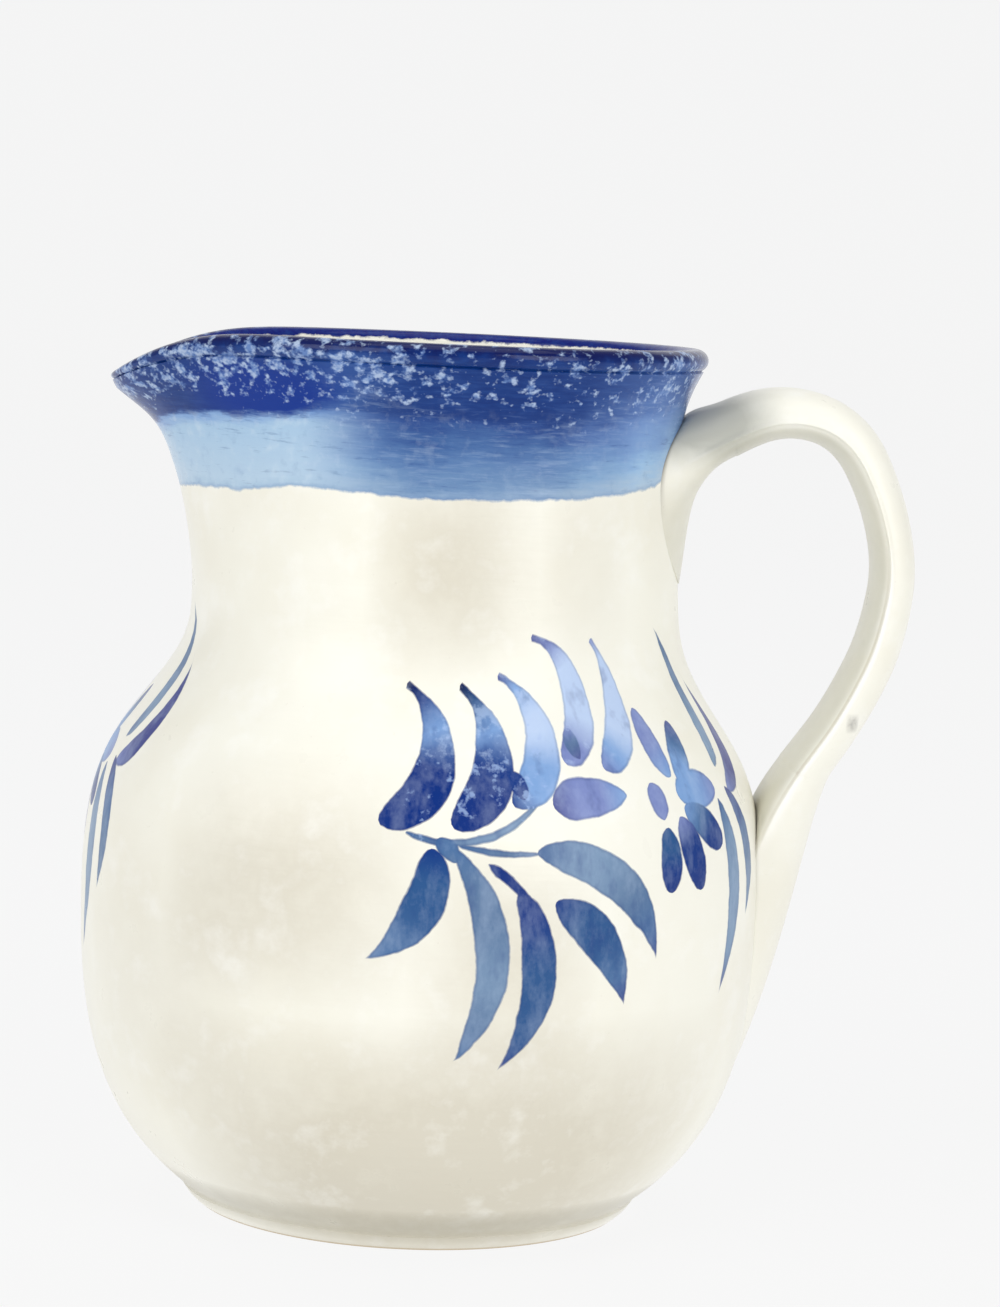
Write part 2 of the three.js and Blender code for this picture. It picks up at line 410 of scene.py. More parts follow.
def crease_marks(rings, sides):
    """How much painted shade lies in the crease at the clay's edge: full where it meets the wall,
    else none.
    """
    marks = []
    for i in range(rings):
        near = min(max((i - SKIRT_STEPS + 2.2) / 2.2, 0), 1)
        row = []
        for k in range(STRAP_SIDES):
            s = math.sin(section_angle(k))
            low, high = sides
            row.append(near * min(max((s - low) / (high - low), 0), 1))
        marks.append(row)
    return marks


def finish_piece(piece, node, material, smooth):
    bpy.ops.object.shade_smooth_by_angle(angle=math.radians(smooth))
    piece.data.materials.clear()
    piece.data.materials.append(material)
    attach(piece, "root")
    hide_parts(node)


# ---- Materials ----

class Value:
    """A number that varies over a surface: arithmetic on it adds Math nodes."""

    def __init__(self, finish, socket):
        self.finish, self.socket = finish, socket

    def math(self, operation, *others, clamp=False):
        return self.finish.math(operation, self, *others, clamp=clamp)

    def __add__(self, other):
        return self.math("ADD", other)

    def __sub__(self, other):
        return self.math("SUBTRACT", other)

    def __rsub__(self, other):
        return self.finish.math("SUBTRACT", other, self)

    def __mul__(self, other):
        return self.math("MULTIPLY", other)

    def __neg__(self):
        return self.math("MULTIPLY", -1.0)

    def __abs__(self):
        return self.math("ABSOLUTE")

    __radd__, __rmul__ = __add__, __mul__

    def held(self):
        """The same number, kept between 0 and 1."""
        return self.math("ADD", 0.0, clamp=True)

    def above(self, low, soft):
        """0 below a level and 1 above it, over a soft edge."""
        return self.math("MULTIPLY_ADD", 1 / soft, -low / soft, clamp=True)

    def near(self, middle, spread):
        """1 at a middle, falling to 0 at a spread on either side."""
        away = abs(self - middle) * (1 / spread)
        return (1 - away * away).held()


class Finish:
    """A material under construction."""

    def __init__(self, name):
        self.material = bpy.data.materials.new(name)
        self.material.use_nodes = True
        self.tree = self.material.node_tree
        self.tree.nodes.clear()
        place = self.node("ShaderNodeTexCoord").outputs["Object"]
        mm = self.node("ShaderNodeVectorMath", {"operation": "SCALE"},
                       {"Vector": place, "Scale": 1000.0})
        self.place = mm.outputs["Vector"]
        self.x, self.y, self.z = self.split(self.place)

    def node(self, kind, settings=None, sockets=None):
        made = self.tree.nodes.new(kind)
        for name, value in (settings or {}).items():
            if name == "stops":
                self.set_stops(made.color_ramp, value)
            elif name == "blend":
                made.color_ramp.interpolation = value
            else:
                setattr(made, name, value)
        for name, value in (sockets or {}).items():
            value = value.socket if isinstance(value, Value) else value
            if isinstance(value, bpy.types.NodeSocket):
                self.tree.links.new(value, made.inputs[name])
            else:
                made.inputs[name].default_value = value
        return made

    @staticmethod
    def set_stops(ramp, stops):
        while len(ramp.elements) < len(stops):
            ramp.elements.new(1.0)
        for element, (place, tint) in zip(ramp.elements, stops):
            element.position = place
        for element, (place, tint) in zip(ramp.elements, stops):
            element.color = tint if len(tint) == 4 else (*tint, 1.0)

    def math(self, operation, *values, clamp=False):
        made = self.node("ShaderNodeMath", {"operation": operation, "use_clamp": clamp},
                         dict(enumerate(values)))
        return Value(self, made.outputs[0])

    def split(self, vector):
        made = self.node("ShaderNodeSeparateXYZ", None, {0: vector})
        return [Value(self, out) for out in made.outputs]

    def join(self, x, y, z):
        return self.node("ShaderNodeCombineXYZ", None, {0: x, 1: y, 2: z}).outputs[0]

    def ramp(self, value, stops):
        made = self.node("ShaderNodeValToRGB", {"blend": "LINEAR", "stops": stops}, {0: value})
        return made.outputs["Color"], Value(self, made.outputs["Alpha"])

    def curve(self, value, stops):
        """A number read off a smooth line of (place, number) points, both from 0 to 1."""
        made = self.node("ShaderNodeValToRGB",
                         {"blend": "EASE", "stops": [(p, (n, n, n, n)) for p, n in stops]},
                         {0: value})
        return Value(self, made.outputs["Alpha"])

    def mix(self, amount, below, over):
        def tint(c):
            return c if isinstance(c, bpy.types.NodeSocket) else (*c, 1.0)
        made = self.node("ShaderNodeMix",
                         {"data_type": "RGBA", "blend_type": "MIX"},
                         {0: amount, 6: tint(below), 7: tint(over)})
        return made.outputs[2]

    def noise(self, scale, detail=2.0, rough=0.5, stretch=None, seed=0.0):
        """Cloudy noise with about `scale` bumps a millimetre."""
        place = self.place
        if stretch:
            place = self.node("ShaderNodeVectorMath", {"operation": "MULTIPLY"},
                              {0: place, 1: stretch}).outputs[0]
        made = self.node("ShaderNodeTexNoise", {"noise_dimensions": "4D"},
                         {"Vector": place, "W": seed, "Scale": scale, "Detail": detail,
                          "Roughness": rough, "Distortion": 0.0})
        return Value(self, made.outputs[0])

    def shade(self, base, roughness, normal):
        shader = self.node("ShaderNodeBsdfPrincipled", None, {
            "Base Color": base, "Roughness": roughness, "Normal": normal,
            "Specular IOR Level": 0.22, "IOR": 1.5,
        })
        self.node("ShaderNodeOutputMaterial", None, {0: shader.outputs[0]})
        return self.material

    def mark(self, name):
        """A number that the piece itself carries, from 0 to 1."""
        return Value(self, self.node("ShaderNodeAttribute", {"attribute_name": name}).outputs[2])

    def bump(self, height, distance, strength=1.0):
        return self.node("ShaderNodeBump", None, {
            "Strength": strength, "Distance": distance, "Height": height,
        }).outputs[0]


# Soft patches of painted shade on the glaze: degrees round the vessel, height, their spreads,
# amount.
SHADE_PATCHES = (
    (4, 152, 20, 26, 0.9), (34, 152, 16, 24, 0.35), (14, 70, 16, 26, 0.7),
    (8, 22, 58, 36, 1.25), (-22, 84, 24, 28, 0.85), (-48, 60, 22, 34, 0.35),
    (140, 120, 40, 40, 0.5), (136, 60, 36, 30, 0.5), (-130, 60, 40, 40, 0.6),
)


def glazed(finish, colours):
    """The ivory glaze over thrown clay: its colour with painted shade in patches and above the
    foot, its roughness and surface.
    """
    around = finish.math("ARCTAN2", finish.x, -finish.y) * math.degrees(1)
    cloud = finish.noise(0.030, 3.0, 0.55, seed=2.0)
    patch = finish.noise(0.10, 4.0, 0.62, seed=5.0)
    base = finish.mix(((cloud - 0.45) * 2.0).held() * 0.9, colours.glaze, colours.warm)
    # The patches lay painted shade over the glaze, as a darker warm grey.
    thin = 0.0
    for degrees, height, wide, tall, amount in SHADE_PATCHES:
        thin = around.near(degrees, wide) * finish.z.near(height, tall) * amount + thin
    thin = (thin * (0.35 + 1.3 * patch)).held()
    base = finish.mix(thin * 0.8, base, linear("D2CBB9"))
    bright = patch.above(0.52, 0.2) * 0.5
    base = finish.mix(bright, base, linear("FAF9F2"))
    # Painted shade in a band just above the foot, where the body turns in to the foot band.
    ring = finish.z.near(6.5, 5) * (0.55 + 0.5 * patch)
    base = finish.mix(ring.held() * 0.6, base, linear("A39D88"))
    pits = finish.noise(0.9, 2.0, 0.5, seed=9.0).above(0.71, 0.06) * 0.14
    base = finish.mix(pits, base, linear("BDB39F"))
    roughness = 0.22 + 0.16 * patch
    rings = finish.noise(0.5, 2.0, 0.5, stretch=(0.12, 0.12, 1.0), seed=3.0)
    dimple = finish.noise(0.12, 2.0, 0.5, seed=7.0)
    surface = finish.bump(0.30 * rings + 0.9 * dimple, 0.55 * MM, 0.55)
    return base, roughness, surface


# ---- The brushed decoration ----

# Around the vessel, degrees from the side that faces -Y towards the handle; up it, millimetres.
CANVAS = 1.29  # millimetres to a degree, round the belly
SPRAY_START = 14.0  # degrees of a spray before its zero
SPRAY_TURN = 111.5  # from one spray to the next
EDGE = 0.35  # how far inside its outline a stroke's paint begins

PAINTS = {
    "ink": "080C3C", "navy": "002C7A", "cobalt": "0A3580", "blue": "2B558A", "slate": "4A6E9C",
    "grey": "7893B2", "sky": "7DA2D4", "pale": "BACDEB", "lilac": "7C8AC0", "plum": "40478A",
    "dusk": "5C789C",
}

# Brush shapes: where a stroke is fullest, and how its start and end close. Half is round, one
# is pointed and more is drawn out. The last is the width of the start's small knob.
PRESSED = (0.66, 1.25, 0.42, 0.27)
LEAF = (0.40, 0.5, 1.15, 0.0)
DRAWN = (0.72, 1.5, 0.5, 0.12)
PETAL = (0.52, 0.45, 0.4, 0.0)
DAB = (0.45, 0.45, 0.5, 0.0)
LINE = (0.5, 0.2, 0.25, 0.0)
TAIL = (0.12, 0.5, 1.5, 0.0)

# Strokes: start, end, how far the middle bows to the left of the way the brush went, width,
# brush shape, and the paint from start to end.
STROKES = [
    # stems, and where they meet
    ((-3, 97.2), (20, 105), -5.4, 2.1, LINE, ("slate", "dusk", "grey", "grey", "dusk")),
    ((5.5, 94.4), (19.4, 92.9), -0.5, 1.8, LINE, ("slate", "dusk", "dusk")),
    ((2.2, 96), (5.4, 91), 0.4, 4.2, DAB, ("slate", "slate", "dusk")),
    # upper leaves
    ((-4.9, 126.8), (-7.4, 99.3), 10.4, 9.8, PRESSED,
     ("ink", "cobalt", "sky", "navy", "navy", "navy", "navy")),
    ((14.3, 128.8), (14.6, 103.6), 9.4, 9.2, PRESSED,
     ("plum", "sky", "pale", "pale", "sky", "sky", "cobalt")),
    ((6.3, 126.8), (4.4, 99.0), 8.8, 10.2, PRESSED,
     ("ink", "blue", "sky", "cobalt", "navy", "navy", "navy")),
    ((22.3, 137.4), (25.2, 111.6), 10.0, 8.8, PRESSED,
     ("plum", "lilac", "pale", "pale", "pale", "lilac", "lilac")),
    ((37.5, 136.8), (33.3, 110.3), 7.6, 8.2, PRESSED,
     ("lilac", "pale", "pale", "pale", "pale", "sky", "lilac")),
    # dabs where the leaves run into each other
    ((14.6, 109.5), (17.0, 104.0), 0.6, 4.6, DAB, ("cobalt", "cobalt", "navy")),
    ((27.6, 118.5), (29.2, 112.0), -0.4, 4.4, DAB, ("lilac", "dusk", "plum")),
    # bud
    ((21.7, 103.2), (36.6, 104.4), 0.7, 8.9, (0.36, 0.45, 0.55, 0.0),
     ("plum", "lilac", "lilac", "sky")),
    # lower leaves
    ((1.5, 94), (-8.8, 69.6), 4.8, 9.0, LEAF, ("cobalt", "blue", "blue", "slate", "slate")),
    ((4.4, 94.5), (5.9, 47.6), 8.4, 7.4, (0.5, 0.6, 0.8, 0.0),
     ("slate", "dusk", "dusk", "grey", "dusk", "slate")),
    ((10.2, 91.2), (23.4, 67.5), 2.7, 2.5, TAIL, ("navy", "navy", "dusk", "grey")),
    ((15.4, 85.3), (12.6, 45.2), 6.9, 8.0, LEAF,
     ("navy", "cobalt", "blue", "blue", "blue", "plum")),
    ((21.6, 83), (35.3, 58.8), 3.4, 9.2, LEAF, ("cobalt", "blue", "blue", "slate", "plum")),
    ((18.5, 93.1), (41.3, 67.6), 7.4, 9.2, LEAF,
     ("blue", "grey", "grey", "dusk", "slate", "plum")),
    # daisy
    ((45.8, 122), (48.4, 107.3), -0.5, 6.4, PETAL, ("lilac", "lilac", "sky")),
    ((55.2, 118.6), (50.4, 105.8), 1.0, 6.9, PETAL, ("plum", "slate", "sky", "sky")),
    ((48.6, 104), (61.0, 103.4), 0.8, 8.6, DAB, ("sky", "sky", "lilac")),
    ((49.6, 100.8), (59.2, 91.4), 0.8, 8.0, PETAL, ("sky", "slate", "cobalt", "cobalt")),
    ((47.9, 99.2), (51.9, 82.8), 0.4, 7.6, PETAL, ("lilac", "cobalt", "cobalt", "navy")),
    ((44.3, 97.4), (44.3, 83.0), 0.4, 6.8, PETAL, ("blue", "blue", "cobalt", "navy")),
    ((42.8, 106.6), (44.1, 98.8), 0.2, 5.8, DAB, ("lilac", "lilac", "lilac")),
    # strokes beside the handle
    ((57.9, 140), (64.6, 107.6), 8.0, 5.4, DRAWN, ("grey", "dusk", "dusk", "grey", "grey")),
    ((71, 127.8), (66.2, 103), 8.0, 6.4, DRAWN, ("dusk", "plum", "plum", "plum", "lilac")),
    ((60.8, 101.8), (58.5, 56.4), 4.6, 6.2, LEAF, ("slate", "grey", "grey", "grey", "plum")),
    ((65, 103.8), (68.3, 72.6), 4.8, 5.4, LEAF, ("plum", "slate", "dusk", "grey")),
]


def brush_stops(shape, paints, sides=16):
    """Ramp stops that hold a stroke's paint as colour and its half width as alpha."""
    fullest, start, end, knob = shape
    paints = [linear(PAINTS[p]) for p in paints]
    stops = []
    for i in range(sides):
        at = 0.5 - 0.5 * math.cos(math.pi * i / (sides - 1))
        away = 1 - at / fullest if at < fullest else (at - fullest) / (1 - fullest)
        half = max(1 - away ** 2, 0.0) ** (start if at < fullest else end)
        if knob and 0 < at < fullest:
            half = max(half, knob)
        place = at * (len(paints) - 1)
        k = min(int(place), len(paints) - 2)
        tint = [a + (b - a) * (place - k) for a, b in zip(paints[k], paints[k + 1])]
        stops.append((at, (*tint, half)))
    return stops


def brushwork(finish, around, base):
    """Lays the sprays of strokes, each an arc, over a colour."""
    turned = (around + (360.0 + SPRAY_START)).math("MODULO", 360.0)
    spray = (turned * (1 / SPRAY_TURN)).math("FLOOR").math("MINIMUM", 2.0)
    local = turned - spray * SPRAY_TURN - SPRAY_START
    shake = finish.noise(0.14, 4.0, 0.55, seed=11.0)
    quiver = finish.noise(0.14, 4.0, 0.55, seed=31.0)
    canvas = finish.join(local * CANVAS + (shake - 0.5) * 1.7, finish.z + (quiver - 0.5) * 1.7, 0.0)
    painted, cover, depth = base, 0.0, -1.0
    for start, end, bow, width, shape, paints in STROKES:
        first = Vector((start[0] * CANVAS, start[1]))
        last = Vector((end[0] * CANVAS, end[1]))
        way = (last - first).normalized()
        side = Vector((-way.y, way.x)) * math.copysign(1, bow)
        chord, sag = (last - first).length, max(abs(bow), 0.2)
        radius = (chord ** 2 / 4 + sag ** 2) / (2 * sag)
        reach = math.asin(chord / 2 / radius)
        centre = (first + last) / 2 + side * (sag - radius)
        # An arc of over half a turn isn't used, so its ends lie either side of its middle.
        mapped = finish.node("ShaderNodeMapping", {"vector_type": "TEXTURE"}, {
            "Vector": canvas,
            "Location": (centre.x, centre.y, 0.0),
            "Rotation": (0.0, 0.0, math.atan2(side.y, side.x)),
            "Scale": (1.0, 1.0, 1.0),
        }).outputs[0]
        out, along, _ = finish.split(mapped)
        turn = along.math("ARCTAN2", out)
        s = turn.math("MULTIPLY_ADD", -math.copysign(1, bow) / (2 * reach), 0.5)
        away = finish.node("ShaderNodeVectorMath", {"operation": "LENGTH"}, {0: mapped})
        off = abs(Value(finish, away.outputs["Value"]) - radius)
        paint, half = finish.ramp(s, brush_stops(shape, paints))
        inside = half * (width / 2 + EDGE) - off
        laid = inside.above(EDGE, 0.42)
        painted = finish.mix(laid, painted, paint)
        cover = laid.math("MAXIMUM", cover)
        depth = inside.math("MAXIMUM", depth)
    return painted, cover, depth


def decorated(finish, base):
    """The sprays, their watery paint and the flecks in it."""
    around = finish.math("ARCTAN2", finish.x, -finish.y) * math.degrees(1)
    painted, cover, depth = brushwork(finish, around, base)
    # Paint pools at a stroke's edge, thins inside it and drags in streaks.
    water = finish.noise(0.2, 3.0, 0.6, stretch=(1.0, 1.0, 0.5), seed=14.0)
    streak = finish.noise(0.45, 4.0, 0.65, stretch=(1.0, 1.0, 0.4), seed=17.0)
    grain = finish.noise(1.1, 2.0, 0.6, seed=19.0)
    thin = (water.above(0.47, 0.22) * 0.45 + (streak - 0.46) * 0.8 + (grain - 0.5) * 0.3).held()
    painted = finish.mix(thin * cover, painted, finish.mix(0.34, painted, linear("CFE0F6")))
    thick = (0.44 - water).above(0.0, 0.2) * cover
    painted = finish.mix(thick * 0.5, painted, linear(PAINTS["navy"]))
    pool = (1 - depth.above(EDGE + 0.15, 0.75)) * cover
    painted = finish.mix(pool * 0.7, painted, finish.mix(0.55, painted, linear("14306E")))
    # The upper leaves ran into pale patches.
    upper = finish.z.near(124, 15) * around.near(16, 30)
    runny = (finish.noise(0.24, 4.0, 0.62, seed=23.0) + upper * 0.06).above(0.58, 0.10)
    painted = finish.mix(runny * upper.above(0.0, 0.3) * cover * 0.42, painted, linear("BCD0EE"))
    # The darkest leaves were speckled while the paint was wet.
    fleck = finish.noise(0.36, 3.0, 0.6, seed=21.0)
    here = finish.z.near(109, 17) * around.near(8, 16)
    spots = (fleck + here * 0.08).above(0.63, 0.09) * cover * here.above(0.1, 0.2)
    painted = finish.mix(spots * 0.6, painted, linear("A4BDE6"))
    return painted, around


def rim_band(finish, colours, plain, base, around):
    """The brushed blue band under the rim, the dark rim and its pale flecks.

    Inside, the glaze is left plain but for the lip's own dark rim.
    """
    turn = (around + 180.0) * (1 / 360)

    def heights(stops):
        """A height in millimetres from (degrees, millimetres) points round the vessel."""
        return 150 + 50 * finish.curve(turn, [((d + 180) / 360, (h - 150) / 50)
                                              for d, h in stops])

    # The paint follows the rim where the lip was pulled down.
    aside = (around + 90.0) * (1 / LIP_SPREAD)
    dip = LIP_DROP * finish.math("POWER", math.e, -(aside * aside))
    rise = ((finish.z + dip - (RIM - THROAT)) * (1 / THROAT)).held()
    high = finish.z + dip * rise * rise * rise

    drag = finish.noise(0.30, 5.0, 0.68, stretch=(0.13, 0.13, 1.0), seed=41.0)
    fine = finish.noise(1.3, 3.0, 0.65, stretch=(0.12, 0.12, 1.0), seed=43.0)
    ragged = finish.noise(0.30, 4.0, 0.62, seed=47.0)
    cloud = finish.noise(0.09, 3.0, 0.55, seed=49.0)
    lower = heights([(-180, 167), (-120, 165), (-53, 165), (-33, 167), (0, 166), (29, 166.6),
                     (47, 167.6), (60, 169), (74, 173), (90, 172), (130, 167), (180, 167)])
    height = high + (ragged - 0.5) * 1.8
    step = height - lower
    band = step.above(0, 0.6)

    def strength(stops):
        """A number from 0 to 1 from (degrees, number) points round the vessel."""
        return finish.curve(turn, [((d + 180) / 360, n) for d, n in stops])

    left = strength([(-180, 0), (-140, 0.3), (-100, 1), (-36, 1), (-12, 0), (180, 0)])
    faint = strength([(-180, 0.3), (-25, 0.35), (-4, 0), (24, 0.05), (40, 0.5), (56, 0.95),
                      (80, 0.6), (120, 0.25), (180, 0.3)])
    dense = strength([(-180, 0.8), (-110, 0.8), (-60, 1), (-34, 0.95), (-20, 0.3), (-4, 0.9),
                      (12, 1), (30, 0.95), (46, 0.6), (58, 0.35), (80, 0.5), (120, 0.8),
                      (180, 0.8)])
    # The thin wash deepens upwards, and holds the brush's streaks.
    up = (step * (1 / 18) + (drag - 0.5) * 0.75 + (cloud - 0.5) * 0.3).held()
    washed, _ = finish.ramp(up, [
        (0.0, linear("8AA4C2")), (0.2, linear("6C8CB4")), (0.45, linear("5577A8")),
        (0.65, linear("40639A")), (0.85, linear("28498A")), (1.0, linear("143678")),
    ])
    light, _ = finish.ramp(up, [
        (0.0, linear("B8CCDC")), (0.3, linear("9CC0E2")), (0.5, linear("84A8D6")),
        (0.8, linear("7496CC")), (1.0, linear("5678B6")),
    ])
    pale, _ = finish.ramp((step * (1 / 18) + (drag - 0.5) * 0.35).held(), [
        (0.0, linear("A9C4DA")), (0.15, linear("B6CEE2")), (0.8, linear("A8C6E0")),
        (0.95, linear("7EA2D4")), (1.0, linear("4468AA")),
    ])
    washed = finish.mix(faint, washed, light)
    washed = finish.mix(left, washed, pale)
    lighter = ((fine - 0.52) * 2.4 + (cloud - 0.5) * 0.8).held()
    washed = finish.mix(lighter, washed, finish.mix(0.5, washed, colours.wash))
    darker = ((0.46 - fine) * 2.4 + (drag - 0.62) * 1.2).held()
    washed = finish.mix(darker, washed, linear("1B3A80"))
    smudge = ((ragged - 0.53) * 3.2 * (0.4 + left)).held() * 0.55
    washed = finish.mix(smudge, washed, linear("C9DAE8"))
    washed = finish.mix(((0.44 - ragged) * 2.6).held() * 0.5, washed, linear("4F76AC"))
    pool = (1 - step.above(0.3, 1.1)) * 0.45
    washed = finish.mix(pool, washed, linear("6586B4"))
    # Strong blue was laid above it in a second pass.
    second = heights([(-180, 182), (-120, 182), (-75, 182), (-52, 181.5), (-38, 182.5),
                      (-28, 184.5), (-16, 187), (0, 183), (30, 182), (46, 187), (60, 189),
                      (80, 186), (110, 182), (180, 182)])
    past = height + (drag - 0.5) * 6 - second
    over = finish.math("ADD", past * 0.62 * left, past * 0.22 * (1 - left), clamp=True)
    strong = finish.mix(((fine - 0.40) * 1.5 + (1 - dense)).held(), colours.cobalt, colours.blue)
    washed = finish.mix(over * (0.35 + 0.6 * dense), washed, strong)
    blot = over * around.near(-42, 24) * high.near(187, 9)
    washed = finish.mix((blot * 1.3).held() * 0.9, washed, linear("00308C"))
    painted = finish.mix(band, base, washed)
    # The rim's own dark cobalt is mottled over its bead.
    mottle = (ragged + cloud) * 0.5
    bead = (high + (mottle - 0.5) * 18).above(195, 3.5)
    painted = finish.mix(bead * 0.8, painted, linear("042064"))
    crest = (high + (ragged - 0.5) * 4).above(197.0, 1.8)
    painted = finish.mix(crest * 0.85, painted, colours.rim)
    # Pale flecks, partly crawled glaze and partly painted highlight, crowd the spout's side, and
    # are sparse towards the handle.
    dots = finish.noise(0.33, 2.2, 0.55, stretch=(0.9, 0.9, 1.25), seed=61.0)
    specks = finish.noise(0.8, 2.0, 0.55, stretch=(0.9, 0.9, 1.2), seed=67.0)
    crowd = strength([(-180, 0.4), (-110, 0.8), (-60, 1), (-26, 0.9), (-6, 0.8), (12, 0.45),
                      (24, 0.55), (40, 0.35), (60, 0.75), (80, 0.5), (180, 0.4)])
    rimward = high.near(194.5, 9.5)
    flecks = (dots * 0.62 + specks * 0.38 + (cloud - 0.5) * 0.12 + crowd * rimward * 0.13).above(
        0.585, 0.09)
    flecks = flecks * high.above(180, 5)
    shade = finish.mix(specks.above(0.45, 0.2), linear("7394CC"), colours.fleck)
    painted = finish.mix(flecks * 0.72, painted, shade)
    inward = finish.mark("inside")
    hem = (high + (ragged - 0.5) * 2.6).above(197.7, 0.5)
    lip = finish.mix((specks - 0.4).held(), linear("0C1A70"), colours.blue)
    within = finish.mix(hem, plain, lip)
    painted = finish.mix(inward, painted, within)
    band = band * (1 - inward * (1 - hem))
    return painted, band


def vessel_glaze(colours):
    finish = Finish("vessel_glaze")
    base, roughness, surface = glazed(finish, colours)
    painted, around = decorated(finish, base)
    painted, band = rim_band(finish, colours, base, painted, around)
    bare = 1 - finish.z.above(0.15, 0.5)
    clay = finish.mix(finish.noise(0.5, 4.0, 0.6, seed=71.0), colours.clay, linear("BFA987"))
    painted = finish.mix(bare, painted, clay)
    roughness = roughness - band * 0.12 + bare * 0.5
    return finish.shade(painted, roughness.held(), surface)


def handle_glaze(colours, name):
    """The same glaze, with painted shade on the strap's inner face and in its creases, a painted
    highlight along its side ridges, and what the hand left on the strap: its marks come as
    attributes.
    """
    finish = Finish(name)
    base, roughness, surface = glazed(finish, colours)
    inner = finish.mark("inner_face")
    edge = finish.mark("luted_edge")
    cloud = finish.noise(0.12, 3.0, 0.6, seed=78.0)
    # Painted shade on the strap's inner face, which faces the vessel.
    base = finish.mix((inner * (0.55 + 0.6 * cloud)).held() * 0.45, base, linear("BDBBA9"))
    # Grey from the rim's brush, on top of the upper root.
    smear = finish.noise(0.14, 4.0, 0.62, seed=81.0)
    flush = finish.x.near(59, 21) * finish.z.near(184, 13) * (1 - finish.y.above(-2, 12))
    flush = (flush * 1.5 + (smear - 0.5) * 0.9) * flush
    base = finish.mix(flush.held() * 0.7, base, linear("A2A398"))
    speck = finish.x.near(96.6, 1.6) * finish.z.near(116.6, 2.4) * finish.noise(0.9, 3.0, seed=83.0)
    speck = (speck * 1.6 * (1 - finish.y.above(-8, 2))).held()
    base = finish.mix(speck * 0.6, base, linear("7D7A78"))
    low_strap = finish.z.near(122, 36)
    # Painted shade in a band on the inner face beside the side ridge, down the lower strap.
    base = finish.mix(inner.near(0.3, 0.26) * low_strap * 0.55, base, linear("B5AA8E"))
    # A painted highlight along each side ridge of the lower strap.
    ridge = finish.mark("side_ridge") * low_strap
    base = finish.mix((ridge * 1.8).held(), base, linear("FFFDF6"))
    # Painted shade in the crease where the join's clay meets the wall.
    base = finish.mix(edge * 0.75, base, linear("5C5348"))
    return finish.shade(base, roughness, surface)


# ---- Operators ----

VESSEL_STEPS = 288  # round the wheel
LIP_FULLNESS = 2.3 * MM  # how far the lip swells out underneath
NECK_PINCH = 1.5 * MM  # how far the hand drew the neck in, at its height and over its reach
PINCH_HEIGHT, PINCH_REACH = 131 * MM, 12 * MM


class PITCHER_OT_vessel(bpy.types.Operator):
    """Throws the vessel, pulls its spout and glazes it"""
    bl_idname = "pitcher.vessel"
    bl_label = "Vessel"

    def execute(self, context):
        v = context.scene.pitcher_vessel
        piece = turn_profile("vessel_body", wall_profile(v), VESSEL_STEPS)
        wall = Wall(v)
        inside = piece.data.attributes.new("inside", "FLOAT", "POINT").data
        for vertex in piece.data.vertices:
            x, y, z = vertex.co
            radius = math.hypot(x, y)
            depth = wall.radius(z) - radius
            inside[vertex.index].value = min(max(depth / MM - 2, 0), 1)
            rise = min(max((z - v.height + v.throat) / v.throat, 0), 1)
            if radius < v.neck_radius / 2:
                continue
            turn = abs(math.atan2(y, -x))
            out = (v.spout_reach * min(1, 1.25 * rise ** 1.4)
                   * math.exp(-((turn / v.spout_spread) ** 2)))
            # The lip is full underneath, and the hand left the neck narrow above the shoulder.
            full = math.exp(-((rise - 0.83) / 0.13) ** 2 - (turn / v.spout_spread) ** 2)
            out += LIP_FULLNESS * full
            under = 1.0 + 0.9 * math.exp(-(turn / 0.9) ** 2)
            out -= NECK_PINCH * under * math.exp(-((z - PINCH_HEIGHT) / PINCH_REACH) ** 2)
            down = v.spout_drop * rise ** 3 * math.exp(-((turn / v.lip_spread) ** 2))
            stretch = 1 + out / radius
            vertex.co = (x * stretch, y * stretch, z - down)
        finish_piece(piece, "vessel",
                     vessel_glaze(context.scene.pitcher_colours), 60)
        return {"FINISHED"}


class PITCHER_OT_handle(bpy.types.Operator):
    """Pulls the strap handle between its two roots"""
    bl_idname = "pitcher.handle"
    bl_label = "Handle"

    def execute(self, context):
        strap = Strap(context.scene.pitcher_handle)
        first, last = UPPER_STEP - SUNK_STEPS, LOWER_STEP + SUNK_STEPS
        rings = [strap.ring(i) for i in range(first, last + 1)]
        rings[0], rings[-1] = strap.ring(first, 0.94), strap.ring(last, 0.94)
        piece = loft("handle_strap", rings)
        finish_piece(piece, "handle",
                     handle_glaze(context.scene.pitcher_colours, "handle_glaze"), 50)
        return {"FINISHED"}


